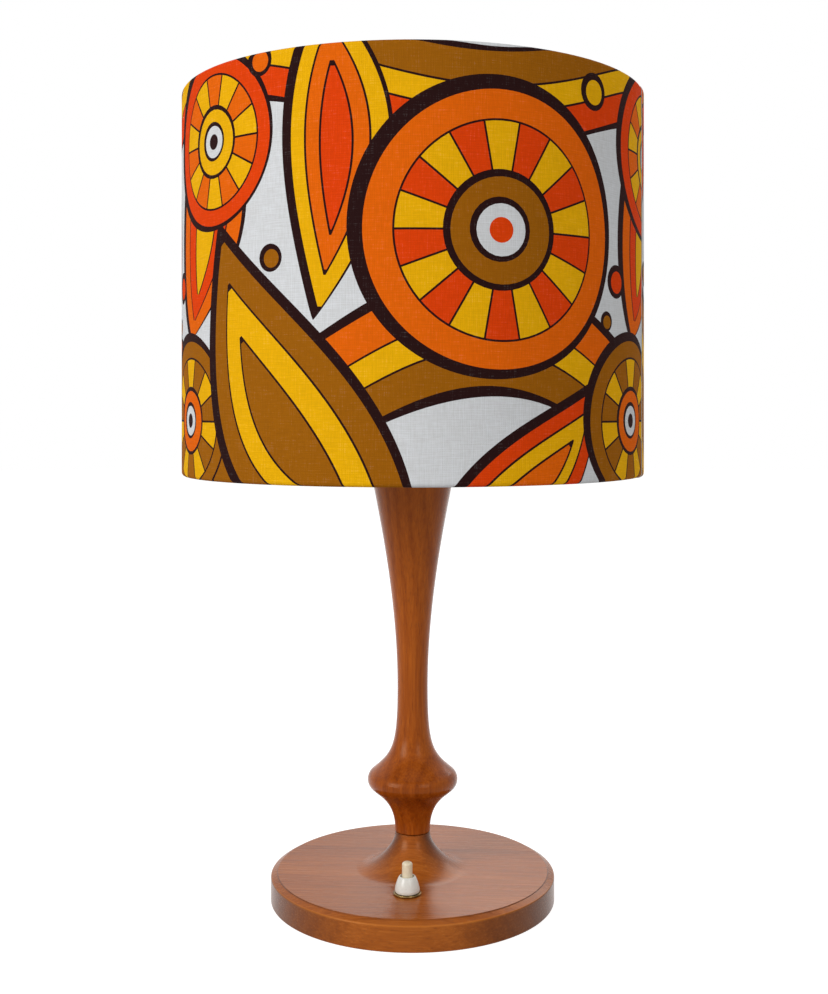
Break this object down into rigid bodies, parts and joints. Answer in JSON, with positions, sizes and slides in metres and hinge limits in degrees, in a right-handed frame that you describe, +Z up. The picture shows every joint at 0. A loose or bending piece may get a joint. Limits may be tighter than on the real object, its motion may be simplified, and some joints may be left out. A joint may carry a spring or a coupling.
{
  "type": "table lamp",
  "caption": "Table lamp with a turned teak base and stem, a push switch in the base, a screw lampholder with its bulb, and a printed cotton drum shade on a wire carrier.",
  "frame": {"origin": "centre of the base, on the table", "axes": "+Z up along the stem, -Y to the front where the push switch stands, +Y to the back where the cord inlet is"},
  "size_m": [0.3, 0.3, 0.5227],
  "materials": {
    "teak": "oiled, satin sheen",
    "felt": "pressed felt",
    "iron": "as cast, blackened",
    "steel": "zinc plated",
    "brass": "plain brass",
    "white_plastic": "moulded, glossy",
    "cream_plastic": "moulded, aged cream",
    "brown_plastic": "moulded, dark brown",
    "porcelain": "glazed",
    "printed_cotton": "printed cotton, orange, yellow and brown on white",
    "liner": "white lining film",
    "white_enamel": "white powder coat",
    "opal_glass": "opal, satin",
    "black_glass": "black insulating glass",
    "brown_lead": "insulated lead",
    "blue_lead": "insulated lead"
  },
  "bodies": {
    "lamp": {"felt_pad": "felt", "base_disc": "teak", "stem": "teak", "ballast_plate": "iron", "ballast_screw_1": "steel", "ballast_screw_2": "steel", "ballast_screw_3": "steel", "cable_bush": "brown_plastic", "threaded_tube": "steel", "base_washer": "steel", "base_nut": "steel", "stem_cap": "brass", "top_nut": "steel", "holder_dome": "white_plastic", "holder_body": "white_plastic", "holder_insert": "porcelain", "holder_shell": "brass", "holder_contact": "brass", "holder_terminal_1": "brass", "holder_terminal_2": "brass", "holder_terminal_screw_1": "steel", "holder_terminal_screw_2": "steel", "shade_clamp_ring": "white_plastic", "shade_carrier": "white_enamel", "shade_ring_top": "white_enamel", "shade_liner": "liner", "shade_cover": "printed_cotton", "bulb_contact": "steel", "bulb_insulator": "black_glass", "bulb_cap": "brass", "bulb_glass": "opal_glass", "switch_washer": "brass", "switch_collar": "white_plastic", "switch_housing": "brown_plastic", "switch_cover": "brown_plastic", "button_spring": "steel", "switch_contact_1": "brass", "switch_contact_2": "brass", "switch_terminal_screw_1": "steel", "switch_terminal_screw_2": "steel", "terminal_block": "white_plastic", "block_insert_1": "brass", "block_insert_2": "brass", "block_screw_1_1": "steel", "block_screw_1_2": "steel", "block_screw_2_1": "steel", "block_screw_2_2": "steel", "block_fixing_screw": "steel", "wire_live": "brown_lead", "wire_switched": "brown_lead", "wire_neutral": "blue_lead"},
    "button": {"push_button": "cream_plastic"},
    "rotor": {"switch_rotor": "brown_plastic", "rotor_bridge": "brass"}
  },
  "joints": [
    {"name": "button_press", "type": "slide", "parent": "lamp", "child": "button", "axis": [0, 0, -1], "range_m": [0, 0.0035], "stiffness_N_per_m": 400, "springref_m": -0.005, "deforming": ["button_spring"]},
    {"name": "rotor_turn", "type": "hinge", "parent": "lamp", "child": "rotor", "pos_m": [0, -0.048, 0.0065], "axis": [0, 0, 1], "range_deg": [0, 90]}
  ],
  "couplings": [
    {"joint": "rotor_turn", "follows": "button_press", "rad_per_m": 448.79}
  ]
}
